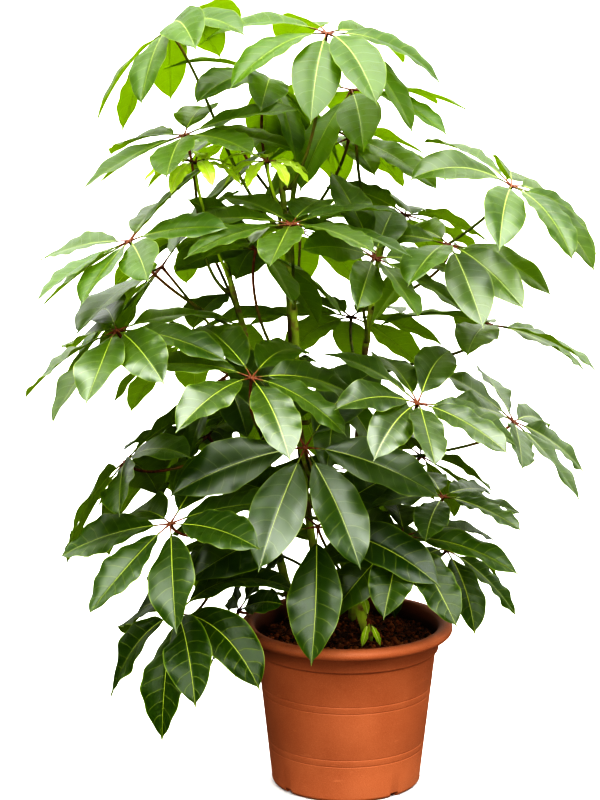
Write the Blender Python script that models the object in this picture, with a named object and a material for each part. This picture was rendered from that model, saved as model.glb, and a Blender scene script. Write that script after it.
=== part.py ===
"""Potted umbrella plant: a nursery pot of soil, four upright stems and their compound leaves.

Metres, +Z up. The origin is the centre of the pot's base, on the floor, and -Y is the front.
Each compound leaf is one closed body: a stalk, a small hub at its end and the leaflets that spread
from the hub like the ribs of an umbrella.
"""
from itertools import product
from math import cos, pi, radians, sin
import random

import bmesh
import bpy
from mathutils import Vector
from mathutils.bvhtree import BVHTree
from mathutils.geometry import interpolate_bezier

GAP = 0.0003                    # clearance between pieces that touch

# Pot
POT_SIDES = 28
POT_HEIGHT = 0.231
POT_WALL = 0.003
POT_FLOOR = 0.004
FOOT_RADIUS = 0.101
FOOT_BEVEL = 0.006
BODY_TOP = 0.192                # the tapered wall ends here, under the shoulder band
BODY_LOW_RADIUS = 0.1045
BODY_TOP_RADIUS = 0.1255
SHOULDER_RADIUS = 0.1295
SHOULDER_STEP = 0.002
LIP_RADIUS = 0.149
LIP_INNER_RADIUS = 0.128
LIP_TALL = 0.0165
LIP_ANGLES = (-75, -38, 0, 38, 75, 105, 150)      # corners of its round section
LIP_UNDERCUT = 0.001
GROOVE_HEIGHTS = (0.053, 0.063, 0.132, 0.142)
GROOVE_WIDTH = 0.0014
GROOVE_DEPTH = 0.0009
NOTCH_ANGLES = (39, 129, 219, 309)          # drain notches in the foot's edge, from the +X side
NOTCH_SIZE = (0.012, 0.014, 0.014)
DRAIN_HOLE_RADIUS = 0.006
DRAIN_HOLE_CIRCLE = 0.062
DRAIN_HOLES = 6

# Soil
SOIL_TOP = 0.208
SOIL_RINGS = (1.0, 0.74, 0.42)  # shares of its top's radius
SOIL_LUMPS = 0.003

# Stems: points along the axis from the foot up, then the radius at the foot and at the tip
STEM_SIDES = 8
STEM_RINGS = 11
STEMS = {
    "stem_front": ([(0.040, -0.018, 0.145), (0.025, -0.020, 0.230), (-0.022, -0.028, 0.375),
                    (-0.065, -0.030, 0.500), (-0.072, -0.028, 0.655), (-0.090, -0.015, 0.850)],
                   0.0078, 0.0040),
    "stem_left": ([(-0.064, 0.000, 0.145), (-0.072, 0.004, 0.230), (-0.100, 0.012, 0.350),
                   (-0.112, 0.010, 0.470), (-0.132, 0.000, 0.600), (-0.165, -0.015, 0.735)],
                  0.0072, 0.0036),
    "stem_right": ([(0.010, 0.075, 0.145), (0.010, 0.076, 0.230), (0.014, 0.075, 0.400),
                    (0.022, 0.070, 0.560), (0.036, 0.060, 0.680), (0.052, 0.050, 0.790)],
                   0.0062, 0.0034),
    "stem_back": ([(-0.030, 0.058, 0.145), (-0.034, 0.064, 0.230), (-0.058, 0.095, 0.400),
                   (-0.075, 0.125, 0.580), (-0.082, 0.150, 0.730), (-0.070, 0.165, 0.850)],
                  0.0064, 0.0034),
}


def spread(first, count):
    """Turns of leaflets at even steps round a hub."""
    return tuple(first + 360 * k // count for k in range(count))


# Compound leaves. A row holds the stem and the height where the stalk leaves it, the hub's place,
# where the hub faces (compass degrees from +X, degrees up), the turn of each leaflet from the hub's
# downhill side, their reach from the hub, their droop and their lift.
LEAVES = {
    "leaf_crown_1": ("stem_front", 0.790, (-0.242, 0.020, 1.050), (165, 50),
                     (35, 85, 130, 155, 230, 255, 295, 345), 0.155, 6.5, 5),
    "leaf_crown_2": ("stem_front", 0.840, (-0.030, -0.040, 1.049), (290, 75),
                     (8, 38, 75, 120, 180, 235, 288, 330), 0.175, 6.0, 10),
    "leaf_crown_3": ("stem_front", 0.740, (-0.103, 0.080, 0.976), (25, 55),
                     (10, 60, 115, 160, 205, 235, 270, 320), 0.156, 6.5, 0),
    "leaf_crown_4": ("stem_right", 0.780, (0.005, 0.040, 0.968), (190, 80),
                     (35, 85, 135, 165, 210, 260, 305, 350), 0.165, 4.0, -5),
    "leaf_upper_1": ("stem_back", 0.760, (0.003, 0.120, 0.895), (340, 80),
                     (30, 80, 130, 180, 230, 280, 340), 0.163, 4.0, 5),
    "leaf_upper_2": ("stem_right", 0.700, (0.220, -0.020, 0.844), (330, 58),
                     (5, 40, 80, 125, 175, 230, 285, 335), 0.158, 6.0, 10),
    "leaf_upper_3": ("stem_left", 0.700, (-0.220, -0.030, 0.913), (205, 66),
                     (60, 105, 150, 185, 230, 285, 315, 350), 0.155, 3.0, 8),
    "leaf_upper_4": ("stem_left", 0.650, (-0.291, -0.080, 0.778), (205, 64),
                     (10, 40, 78, 128, 168, 223, 300, 340), 0.150, 2.5, 8),
    "leaf_upper_5": ("stem_left", 0.725, (-0.204, -0.060, 0.880), (270, 80),
                     (25, 70, 120, 180, 230, 285, 335), 0.075, 18.0, 15),
    "leaf_upper_6": ("stem_front", 0.810, (-0.108, -0.050, 0.880), (270, 80),
                     (25, 65, 115, 180, 240, 290, 335), 0.068, 18.0, 15),
    "leaf_upper_7": ("stem_front", 0.680, (-0.076, -0.120, 0.805), (260, 80),
                     (0, 55, 90, 130, 175, 220, 255, 305), 0.155, 3.0, 10),
    "leaf_upper_8": ("stem_right", 0.620, (0.034, -0.080, 0.755), (320, 50),
                     (35, 75, 130, 170, 205, 250, 295, 335), 0.140, 3.5, 15),
    "leaf_upper_9": ("stem_right", 0.665, (0.136, -0.020, 0.764), (255, 65),
                     (30, 60, 90, 160, 215, 260, 305, 350), 0.157, 4.5, 0),
    "leaf_upper_10": ("stem_front", 0.600, (-0.124, -0.030, 0.759), (60, 60),
                      (45, 85, 130, 185, 235, 285, 340), 0.160, 4.5, 0),
    "leaf_middle_1": ("stem_left", 0.600, (-0.256, 0.050, 0.724), (188, 51),
                      (7, 38, 80, 150, 220, 295, 342), 0.225, 2.0, 0),
    "leaf_middle_2": ("stem_left", 0.580, (-0.307, -0.120, 0.664), (210, 60),
                      (15, 50, 85, 125, 175, 225, 270, 325), 0.168, 3.5, 0),
    "leaf_middle_3": ("stem_right", 0.560, (0.201, 0.050, 0.642), (0, 70),
                      (20, 105, 180, 250, 340), 0.158, 4.5, 5),
    "leaf_middle_4": ("stem_left", 0.480, (-0.128, -0.180, 0.612), (290, 68),
                      (0, 50, 95, 145, 185, 235, 300), 0.155, 5.0, 12),
    "leaf_middle_5": ("stem_right", 0.460, (0.090, -0.150, 0.572), (310, 65),
                      (20, 60, 130, 165, 215, 260, 290, 325), 0.145, 5.0, 18),
    "leaf_middle_6": ("stem_right", 0.420, (0.234, 0.050, 0.505), (345, 50),
                      (40, 85, 135, 180, 230, 285, 340), 0.140, 3.5, 5),
    "leaf_middle_7": ("stem_front", 0.430, (-0.058, -0.120, 0.506), (270, 42),
                      (28, 85, 150, 210, 275, 338), 0.186, 3.0, 0),
    "leaf_low_1": ("stem_left", 0.460, (-0.304, -0.050, 0.470), (160, 40),
                   (15, 80, 110, 155, 200, 240, 280, 330), 0.165, 5.0, 0),
    "leaf_low_2": ("stem_front", 0.390, (-0.238, -0.140, 0.406), (235, 55),
                   (35, 90, 130, 180, 240, 290, 340), 0.172, 3.0, 5),
    "leaf_low_3": ("stem_left", 0.370, (-0.231, -0.140, 0.281), (215, 45),
                   (40, 80, 110, 155, 195, 225, 260, 305), 0.178, 8.0, 10),
    "leaf_low_4": ("stem_left", 0.270, (-0.149, -0.080, 0.268), (195, 30),
                   (55, 125, 195, 260, 335), 0.104, 4.0, -5),
    "leaf_low_5": ("stem_front", 0.300, (-0.041, -0.100, 0.392), (262, 42),
                   (3, 75, 140, 215, 290), 0.188, 3.0, 0),
    "leaf_low_6": ("stem_right", 0.320, (0.075, -0.100, 0.378), (285, 72),
                   (20, 65, 110, 160, 200, 250, 290, 340), 0.155, 4.0, 5),
    "leaf_low_7": ("stem_right", 0.360, (0.130, -0.050, 0.421), (295, 75),
                   (35, 75, 120, 170, 215, 270, 320), 0.120, 4.0, 12),
    "leaf_low_8": ("stem_right", 0.250, (0.045, 0.060, 0.292), (345, 75),
                   (20, 90, 160, 230, 300), 0.100, 5.5, -5),
    "leaf_low_9": ("stem_right", 0.270, (0.141, 0.030, 0.325), (340, 55), spread(10, 6), 0.140, 6.5, 5),
    "leaf_low_10": ("stem_front", 0.226, (0.030, -0.050, 0.246), (285, 40), (20, 180, 335), 0.036, 14.0, 0),
    "leaf_inner_1": ("stem_left", 0.520, (-0.172, 0.060, 0.565), (160, 60), spread(10, 6), 0.135, 6.0, 0),
    "leaf_inner_2": ("stem_front", 0.520, (-0.018, -0.030, 0.565), (310, 65), spread(20, 6), 0.135, 6.0, 0),
    "leaf_inner_3": ("stem_left", 0.400, (-0.195, 0.070, 0.480), (170, 50), spread(25, 6), 0.140, 6.0, 5),
    "leaf_back_1": ("stem_back", 0.790, (-0.155, 0.200, 0.890), (130, 65), spread(10, 7), 0.145, 5.0, 5),
    "leaf_back_2": ("stem_back", 0.830, (-0.025, 0.230, 0.890), (60, 65), spread(20, 7), 0.145, 5.0, 5),
    "leaf_back_3": ("stem_right", 0.740, (0.085, 0.175, 0.780), (50, 60), spread(12, 7), 0.140, 5.0, 5),
    "leaf_back_4": ("stem_left", 0.660, (-0.205, 0.170, 0.760), (130, 55), spread(30, 7), 0.150, 5.0, 5),
    "leaf_back_5": ("stem_back", 0.620, (-0.065, 0.290, 0.740), (90, 60), spread(0, 7), 0.155, 5.0, 5),
    "leaf_back_6": ("stem_right", 0.540, (0.010, 0.245, 0.620), (80, 60), spread(5, 7), 0.150, 5.0, 5),
    "leaf_back_7": ("stem_left", 0.540, (-0.225, 0.190, 0.600), (130, 50), spread(15, 7), 0.155, 5.0, 5),
    "leaf_back_8": ("stem_back", 0.430, (-0.080, 0.285, 0.500), (95, 50), spread(25, 7), 0.155, 5.0, 5),
    "leaf_back_9": ("stem_back", 0.360, (-0.240, 0.170, 0.450), (145, 50), spread(12, 7), 0.150, 5.0, 5),
    "leaf_back_10": ("stem_right", 0.330, (0.010, 0.215, 0.400), (85, 50), spread(28, 7), 0.145, 5.0, 5),
    "leaf_back_11": ("stem_right", 0.370, (0.110, 0.165, 0.430), (45, 50), spread(8, 7), 0.140, 5.0, 5),
    "leaf_back_12": ("stem_back", 0.280, (-0.150, 0.180, 0.320), (120, 45), spread(18, 7), 0.140, 5.0, 5),
}
YOUNG_LEAVES = ("leaf_upper_5", "leaf_upper_6", "leaf_low_10")

# Leaf stalk, hub and leaflets
STALK_SIDES = 4
STALK_BENDS = 4
STALK_CURVE = 0.30              # handles of its curve, over its length
STALK_RADII = (0.0034, 0.0023, 0.0019)      # at the stem, past the flare and at the hub
STALK_COLLAR = 0.007
SEAT_GAP = 0.0004
HUB_RADIUS = 0.0048
HUB_HALF = 0.0022
STALKLET_SHARE = 0.11           # of a leaflet's reach, before its blade starts
STALKLET_RADIUS = 0.0013
LINE_STEPS = 24
BLADE_WIDTH = 0.220             # half-width over the blade's length
YOUNG_BLADE_WIDTH = 0.160
YOUNG_WAVE = 0.015              # share of reach
BLADE_HALF_THICK = 0.0008
BLADE_FOLD = 0.16               # rise of the edge over the half-width
BLADE_STATIONS = ((0.20, 0.74), (0.50, 1.00), (0.80, 0.62))     # share of length, share of width
WAVE = {"crown": 0.002, "upper": 0.003, "middle": 0.006, "low": 0.006, "inner": 0.004, "back": 0.004}

# How far a leaflet strays from its row: turn, share of reach, share of droop, lift and roll
STRAY_TURN = 2
STRAY_REACH = 0.05
STRAY_DROOP = 0.15
STRAY_LIFT = 4
STRAY_ROLL = 12

# Bends that a crowded leaflet or stalk may take to stay clear, the smallest first
CLEARANCE = 0.0012
PROBE_SHARE = 0.03              # a leaflet is checked from here on, clear of its own hub
HUB_GUARD_SIDES = 8
TURN_STEP = 7
TURN_BENDS = (0, -7, 7, -14, 14, -22, 22)
LIFT_STEP = 9
LIFT_BENDS = (0, -9, 9, -18, 18, -30, 30)
REACH_BENDS = (1.0, 0.86, 0.72)
SHORT_COST = 12
STALK_BENDS_ASIDE = (0, -0.02, 0.02, -0.04, 0.04, -0.07, 0.07)


def clear_scene():
    for item in list(bpy.data.objects):
        bpy.data.objects.remove(item, do_unlink=True)


def material(name, colour, roughness):
    finish = bpy.data.materials.new(name)
    finish.use_nodes = True
    shader = finish.node_tree.nodes["Principled BSDF"]
    shader.inputs["Base Color"].default_value = (*colour, 1.0)
    shader.inputs["Roughness"].default_value = roughness
    shader.inputs["Metallic"].default_value = 0.0
    return finish


class Body:
    """One closed body, built up from rings of corners."""

    def __init__(self):
        self.points = []
        self.faces = []

    def ring(self, points):
        first = len(self.points)
        self.points.extend(Vector(point) for point in points)
        return list(range(first, len(self.points)))

    def lace(self, low, high):
        """Triangles between two closed rings, which may differ in their number of corners."""
        i = j = 0
        while i < len(low) or j < len(high):
            a, b = low[i % len(low)], high[j % len(high)]
            if (i + 0.5) / len(low) <= (j + 0.5) / len(high):
                i += 1
                self.faces.append((a, low[i % len(low)], b))
            else:
                j += 1
                self.faces.append((a, high[j % len(high)], b))

    def skin(self, rings):
        for low, high in zip(rings, rings[1:]):
            self.lace(low, high)

    def skin_blade(self, rings):
        """Faces between sections, with every diagonal from the rib to an edge, above and below."""
        for low, high in zip(rings, rings[1:]):
            for rib, edge in product((0, 2), (1, 3)):
                self.faces.append((low[rib], high[rib], high[edge]))
                self.faces.append((low[rib], high[edge], low[edge]))

    def cap(self, ring):
        self.faces.append(tuple(ring))

    def tip(self, ring, point):
        peak = self.ring([point])[0]
        for a, b in zip(ring, ring[1:] + ring[:1]):
            self.faces.append((a, b, peak))

    def tree(self):
        return BVHTree.FromPolygons(self.points, self.faces)

    def make(self, name, finish, smooth_angle):
        mesh = bpy.data.meshes.new(name)
        mesh.from_pydata(self.points, [], self.faces)
        shape = bmesh.new()
        shape.from_mesh(mesh)
        bmesh.ops.recalc_face_normals(shape, faces=shape.faces)
        if shape.calc_volume(signed=True) < 0:
            bmesh.ops.reverse_faces(shape, faces=shape.faces)
        shape.to_mesh(mesh)
        shape.free()
        mesh.materials.append(finish)
        mesh.shade_smooth()
        mesh.set_sharp_from_angle(angle=radians(smooth_angle))
        item = bpy.data.objects.new(name, mesh)
        bpy.context.scene.collection.objects.link(item)
        return item


def tangents(path):
    ends = [path[0]] + list(path) + [path[-1]]
    return [(after - before).normalized() for before, after in zip(ends, ends[2:])]


def tube_rings(body, path, radii, sides, start_side, start_tangent=None):
    """Rings round a path, carried along it without twist from the side given for the first."""
    along = tangents(path)
    if start_tangent is not None:
        along[0] = start_tangent
    side = start_side
    rings = []
    for point, tangent, radius in zip(path, along, radii):
        side = (side - tangent * side.dot(tangent)).normalized()
        other = tangent.cross(side)
        rings.append(body.ring(
            point + (side * cos(angle) + other * sin(angle)) * radius
            for angle in (2 * pi * k / sides for k in range(sides))))
    return rings


def turned(body, profile, sides):
    """Rings of a turned shape, from a profile of (radius, height)."""
    return [body.ring((radius * cos(2 * pi * k / sides), radius * sin(2 * pi * k / sides), height)
                      for k in range(sides)) for radius, height in profile]


def cut(item, cutters):
    """Takes the cutters out of a piece with one Boolean, and leaves them as hidden guides."""
    group = bpy.data.collections.new(item.name + "_cutters")
    bpy.context.scene.collection.children.link(group)
    for cutter in cutters:
        for owner in list(cutter.users_collection):
            owner.objects.unlink(cutter)
        group.objects.link(cutter)
        cutter.hide_render = True
        cutter.display_type = "WIRE"
    boolean = item.modifiers.new("cut", "BOOLEAN")
    boolean.operand_type = "COLLECTION"
    boolean.collection = group
    boolean.operation = "DIFFERENCE"
    boolean.solver = "EXACT"


# ---------------------------------------------------------------- pot and soil

def wall_radius(height):
    share = (height - FOOT_BEVEL) / (BODY_TOP - FOOT_BEVEL)
    return BODY_LOW_RADIUS + (BODY_TOP_RADIUS - BODY_LOW_RADIUS) * share


def pot_profile():
    outside = [(FOOT_RADIUS, 0.0), (BODY_LOW_RADIUS, FOOT_BEVEL)]
    for groove in GROOVE_HEIGHTS:
        for height, depth in ((-GROOVE_WIDTH, 0.0), (0.0, GROOVE_DEPTH), (GROOVE_WIDTH, 0.0)):
            outside.append((wall_radius(groove + height) - depth, groove + height))
    lip_low = POT_HEIGHT - LIP_TALL
    outside += [(BODY_TOP_RADIUS, BODY_TOP), (SHOULDER_RADIUS, BODY_TOP + SHOULDER_STEP),
                (SHOULDER_RADIUS, lip_low + LIP_UNDERCUT)]
    middle = (LIP_RADIUS + LIP_INNER_RADIUS) / 2
    half = (LIP_RADIUS - LIP_INNER_RADIUS) / 2
    lip = [(middle + half * cos(radians(angle)), POT_HEIGHT - LIP_TALL / 2 * (1 - sin(radians(angle))))
           for angle in LIP_ANGLES]
    inside = [(SHOULDER_RADIUS - POT_WALL, lip_low), (wall_radius(BODY_TOP) - POT_WALL, BODY_TOP),
              (wall_radius(POT_FLOOR) - POT_WALL, POT_FLOOR)]
    return outside + lip + inside


def make_pot():
    body = Body()
    rings = turned(body, pot_profile(), POT_SIDES)
    body.skin(rings)
    body.cap(rings[0])
    body.cap(rings[-1])
    finish = material("terracotta_plastic", (0.50, 0.15, 0.05), 0.45)
    pot = body.make("pot", finish, 40)
    cutters = []
    for angle in NOTCH_ANGLES:
        bpy.ops.mesh.primitive_cube_add(size=1.0)
        notch = bpy.context.object
        notch.name = f"notch_{angle}"
        notch.scale = NOTCH_SIZE
        notch.rotation_euler.z = radians(angle)
        notch.location = (FOOT_RADIUS * cos(radians(angle)), FOOT_RADIUS * sin(radians(angle)), 0.0)
        cutters.append(notch)
    for k in range(DRAIN_HOLES):
        angle = 2 * pi * k / DRAIN_HOLES
        bpy.ops.mesh.primitive_cylinder_add(vertices=8, radius=DRAIN_HOLE_RADIUS, depth=4 * POT_FLOOR)
        hole = bpy.context.object
        hole.name = f"drain_{k}"
        hole.location = (DRAIN_HOLE_CIRCLE * cos(angle), DRAIN_HOLE_CIRCLE * sin(angle), 0.0)
        cutters.append(hole)
    cut(pot, cutters)


def make_soil(stem_paths):
    draw = random.Random("soil")
    body = Body()
    low = POT_FLOOR + GAP
    clear = POT_WALL + GAP / cos(pi / POT_SIDES)
    sides = [(wall_radius(POT_FLOOR) - clear - GAP / 2, low), (wall_radius(BODY_TOP) - clear, BODY_TOP)]
    top_radius = wall_radius(BODY_TOP) - clear
    rings = turned(body, sides + [(top_radius * share, SOIL_TOP) for share in SOIL_RINGS], POT_SIDES)
    for ring in rings[2:]:
        for corner in ring:
            body.points[corner].z += SOIL_LUMPS * draw.uniform(-1.0, 1.0)
    body.skin(rings)
    body.cap(rings[0])
    body.tip(rings[-1], (0.0, 0.0, SOIL_TOP))
    soil = body.make("soil", material("potting_soil", (0.045, 0.022, 0.010), 0.95), 20)
    cut(soil, [make_socket(name, path) for name, path in stem_paths.items()])


# ---------------------------------------------------------------- stems

def smooth_path(points, count):
    """Points at even steps along a Catmull-Rom curve through the points given."""
    knots = [Vector(point) for point in points]
    knots = [2 * knots[0] - knots[1]] + knots + [2 * knots[-1] - knots[-2]]
    path = []
    for k in range(count):
        place = k / (count - 1) * (len(points) - 1)
        span = min(int(place), len(points) - 2)
        t = place - span
        a, b, c, d = knots[span:span + 4]
        path.append(0.5 * ((2 * b) + (c - a) * t + (2 * a - 5 * b + 4 * c - d) * t ** 2
                           + (3 * b - a - 3 * c + d) * t ** 3))
    return path


def stem_radii(foot, tip, count):
    return [foot + (tip - foot) * k / (count - 1) for k in range(count)]


def make_socket(name, path):
    """The hole that a stem stands in: the stem's own buried stretch, grown by the gap."""
    foot, tip = STEMS[name][1:]
    count = next(k for k, point in enumerate(path) if point.z > SOIL_TOP + 2 * SOIL_LUMPS) + 1
    line = [path[0] - (path[1] - path[0]).normalized() * GAP] + path[1:count]
    radii = [radius + GAP / cos(pi / STEM_SIDES) for radius in stem_radii(foot, tip, len(path))]
    body = Body()
    rings = tube_rings(body, line, radii, STEM_SIDES, Vector((1, 0, 0)))
    body.skin(rings)
    body.cap(rings[0])
    body.cap(rings[-1])
    return body.make(name + "_socket", material(name + "_guide", (0.5, 0.5, 0.5), 0.5), 30)


def make_stem(name, path):
    foot, tip = STEMS[name][1:]
    body = Body()
    rings = tube_rings(body, path, stem_radii(foot, tip, len(path)), STEM_SIDES, Vector((1, 0, 0)))
    body.skin(rings)
    body.cap(rings[0])
    last = path[-1] + (path[-1] - path[-2]).normalized() * 2 * tip
    body.tip(rings[-1], last)
    body.make(name, material(name + "_bark", (0.075, 0.095, 0.020), 0.6), 50)
    return body


def stem_at(path, foot, tip, height):
    """Centre, direction and radius of a stem at a height."""
    for k, (low, high) in enumerate(zip(path, path[1:])):
        if high.z >= height:
            share = (height - low.z) / (high.z - low.z)
            radius = foot + (tip - foot) * (k + share) / (len(path) - 1)
            return low.lerp(high, share), (high - low).normalized(), radius
    return path[-1], (path[-1] - path[-2]).normalized(), tip


# ---------------------------------------------------------------- compound leaves

def hub_frame(faces):
    """The hub's axis, its downhill side and the side a quarter turn on."""
    compass, up = radians(faces[0]), radians(faces[1])
    axis = Vector((cos(up) * cos(compass), cos(up) * sin(compass), sin(up)))
    downhill = Vector((sin(up) * cos(compass), sin(up) * sin(compass), -cos(up)))
    return axis, downhill, axis.cross(downhill)


def stalk_path(row, stem_path, aside):
    """From the stem's side to the hub, bent aside by a distance to stay clear."""
    stem, height, hub, faces = row[:4]
    centre, along, radius = stem_at(stem_path, *STEMS[stem][1:], height)
    hub = Vector(hub)
    axis = hub_frame(faces)[0]
    away = hub - centre
    outward = (away - along * away.dot(along)).normalized()
    base = centre + outward * (radius + SEAT_GAP)
    neck = base + outward * STALK_COLLAR
    end = hub - axis * HUB_HALF
    reach = (end - neck).length
    shift = away.cross(Vector((0, 0, 1))).normalized() * aside
    curve = interpolate_bezier(neck, neck + (outward + along).normalized() * STALK_CURVE * reach + shift,
                               end - axis * STALK_CURVE * reach + shift, end, STALK_BENDS)
    return [base] + curve, outward


def stalk_radii():
    flare, past, top = STALK_RADII
    return [flare] + [past + (top - past) * k / (STALK_BENDS - 1) for k in range(STALK_BENDS)]


def leaflet_line(hub, frame, turn, lift, reach, droop):
    """Midrib of a leaflet: straight out of the hub, then sagging under its own weight."""
    axis, downhill, across = frame
    turn, lift = radians(turn), radians(lift)
    outward = downhill * cos(turn) + across * sin(turn)
    side = across * cos(turn) - downhill * sin(turn)
    heading = outward * cos(lift) + axis * sin(lift)
    step = reach / LINE_STEPS
    line = [(hub + heading * HUB_RADIUS, heading)]
    for _ in range(LINE_STEPS):
        heading = (heading - Vector((0, 0, droop * step))).normalized()
        line.append((line[-1][0] + heading * step, heading))
    return line, side


def at_share(line, share):
    place = share * LINE_STEPS
    k = min(int(place), LINE_STEPS - 1)
    point = line[k][0].lerp(line[k + 1][0], place - k)
    heading = line[k][1].lerp(line[k + 1][1], place - k).normalized()
    return point, heading


def section(line, side, share, half_width, half_thick, roll, rises):
    """Corners of a leaflet's cross-section: rib top, right edge, rib bottom, left edge."""
    point, heading = at_share(line, share)
    flat = (side - heading * side.dot(heading)).normalized()
    up = heading.cross(flat)
    flat, up = flat * cos(roll) + up * sin(roll), up * cos(roll) - flat * sin(roll)
    right, left = rises
    return [point + up * half_thick, point + flat * half_width + up * right,
            point - up * half_thick, point - flat * half_width + up * left]


class Leaflet:
    """The sizes of one leaflet of a leaf."""

    def __init__(self, name, row, index):
        draw = random.Random(f"{name} leaflet {index}")
        _, _, hub, faces, turns, reach, droop, lift = row
        self.hub = Vector(hub)
        self.frame = hub_frame(faces)
        self.turn = turns[index] + draw.uniform(-STRAY_TURN, STRAY_TURN)
        self.reach = reach * draw.uniform(1 - STRAY_REACH, 1 + STRAY_REACH)
        self.droop = droop * draw.uniform(1 - STRAY_DROOP, 1 + STRAY_DROOP)
        self.lift = lift + draw.uniform(-STRAY_LIFT, STRAY_LIFT)
        self.roll = radians(draw.uniform(-STRAY_ROLL, STRAY_ROLL))
        young = name in YOUNG_LEAVES
        self.width = YOUNG_BLADE_WIDTH if young else BLADE_WIDTH
        wave = YOUNG_WAVE * reach if young else WAVE[name.split("_")[1]]
        signs = [(-1) ** (k + k // 2) for k in range(2 * len(BLADE_STATIONS))]
        swings = [wave * draw.uniform(0.4, 1.0) * sign for sign in signs]
        self.waves = list(zip(swings[::2], swings[1::2]))

    def bends(self):
        """Lines for every bend, the smallest bend first."""
        options = sorted(product(TURN_BENDS, LIFT_BENDS, REACH_BENDS), key=bend_cost)
        for turn, lift, share in options:
            yield leaflet_line(self.hub, self.frame, self.turn + turn, self.lift + lift,
                               self.reach * share, self.droop)

    def grow(self, body, root, line, side, margin=0.0):
        """Stalklet and blade from the root ring out to the tip."""
        length = (1 - STALKLET_SHARE) * self.reach
        stalklet = body.ring(section(line, side, STALKLET_SHARE, STALKLET_RADIUS + margin,
                                     STALKLET_RADIUS + margin, self.roll, (0.0, 0.0)))
        rings = [stalklet]
        for (share, width), (right, left) in zip(BLADE_STATIONS, self.waves):
            half_width = self.width * length * width
            rise = BLADE_FOLD * half_width
            rings.append(body.ring(section(
                line, side, STALKLET_SHARE + (1 - STALKLET_SHARE) * share, half_width + margin,
                BLADE_HALF_THICK + margin, self.roll, (rise + right, rise + left))))
        body.skin([root, stalklet])
        body.skin_blade(rings)
        body.tip(rings[-1], line[-1][0] + line[-1][1] * margin)

    def alone(self, line, side, margin=0.0):
        """The leaflet by itself, from just outside its hub."""
        body = Body()
        root = body.ring(section(line, side, PROBE_SHARE, STALKLET_RADIUS, STALKLET_RADIUS, 0.0, (0, 0)))
        self.grow(body, root, line, side, margin)
        return body


def bend_cost(bend):
    turn, lift, share = bend
    return abs(turn) / TURN_STEP + abs(lift) / LIFT_STEP + (1 - share) * SHORT_COST


def box_of(points):
    return ([min(p[k] for p in points) for k in range(3)], [max(p[k] for p in points) for k in range(3)])


def outline_of(body):
    return (body.tree(), *box_of(body.points))


def blocked(body, others):
    """Whether a body crosses any of the outlines."""
    tree, low, high = outline_of(body)
    for other_tree, other_low, other_high in others:
        if all(low[k] <= other_high[k] and high[k] >= other_low[k] for k in range(3)):
            if tree.overlap(other_tree):
                return True
    return False


def hub_guard(row):
    """The hub and the roots of its stalklets, for the other leaves to stay clear of."""
    hub, faces, reach = Vector(row[2]), row[3], row[5]
    axis, downhill, _ = hub_frame(faces)
    half = axis * (HUB_HALF + CLEARANCE)
    radius = HUB_RADIUS + PROBE_SHARE * reach + CLEARANCE
    body = Body()
    rings = tube_rings(body, [hub - half, hub + half], [radius, radius], HUB_GUARD_SIDES, downhill)
    body.skin(rings)
    body.cap(rings[0])
    body.cap(rings[-1])
    return body


def settle_stalk(name, row, stem_path, others):
    """The first stalk path that crosses nothing, and its outline."""
    for aside in STALK_BENDS_ASIDE:
        path, outward = stalk_path(row, stem_path, aside)
        probe = Body()
        probe.skin(tube_rings(probe, path[1:], [r + CLEARANCE for r in stalk_radii()[1:]], STALK_SIDES,
                              hub_frame(row[3])[1]))
        if not blocked(probe, others):
            return path, outward, outline_of(probe)
    raise ValueError("no clear path for the stalk of " + name)


def flatten(body, ring, base, outward):
    """Lays a ring of corners flat in the plane through a base point."""
    for corner in ring:
        point = body.points[corner]
        body.points[corner] = point - outward * (point - base).dot(outward)


def make_leaf(name, row, path, outward, others):
    """Stalk, hub and leaflets as one body, with the outlines of the leaflets.

    A leaflet that no bend keeps clear isn't grown.
    """
    grown = []
    hub, faces, turns = Vector(row[2]), row[3], row[4]
    axis, downhill, across = hub_frame(faces)
    body = Body()

    def rim(height, turn):
        return (hub + axis * height
                + (downhill * cos(radians(turn)) + across * sin(radians(turn))) * HUB_RADIUS)

    corners = [(before + turn) / 2 for before, turn in zip((turns[-1] - 360,) + turns, turns)]
    low = body.ring(rim(-HUB_HALF, turn) for turn in corners)
    high = body.ring(rim(HUB_HALF, turn) for turn in corners)
    body.cap(high)
    stalk = tube_rings(body, path[::-1], stalk_radii()[::-1], STALK_SIDES, rim(0.0, corners[0]) - hub, -axis)
    flatten(body, stalk[-1], path[0], outward)
    body.lace([low[0]] + low[:0:-1], stalk[0])
    body.skin(stalk)
    body.cap(stalk[-1])
    for k in range(len(turns)):
        leaflet = Leaflet(name, row, k)
        after = (k + 1) % len(turns)
        root = [high[k], high[after], low[after], low[k]]
        clear = (bend for bend in leaflet.bends()
                 if not blocked(leaflet.alone(*bend, CLEARANCE), others + grown))
        bend = next(clear, None)
        if bend is None:
            body.cap(root)
        else:
            leaflet.grow(body, root, *bend)
            grown.append(outline_of(leaflet.alone(*bend)))
    body.make(name, material(name + "_green", (0.06, 0.15, 0.02), 0.3), 35)
    return grown


def rim_guard():
    """The outside of the pot's wall, its lip and the soil's top, for leaves to stay clear of."""
    body = Body()
    top = SOIL_TOP + SOIL_LUMPS
    body.skin(turned(body, [(FOOT_RADIUS, 0.0), (SHOULDER_RADIUS, BODY_TOP),
                            (LIP_RADIUS, POT_HEIGHT - LIP_TALL), (LIP_RADIUS, POT_HEIGHT),
                            (LIP_INNER_RADIUS, POT_HEIGHT), (LIP_INNER_RADIUS, top), (GAP, top)], POT_SIDES))
    return body


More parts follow.
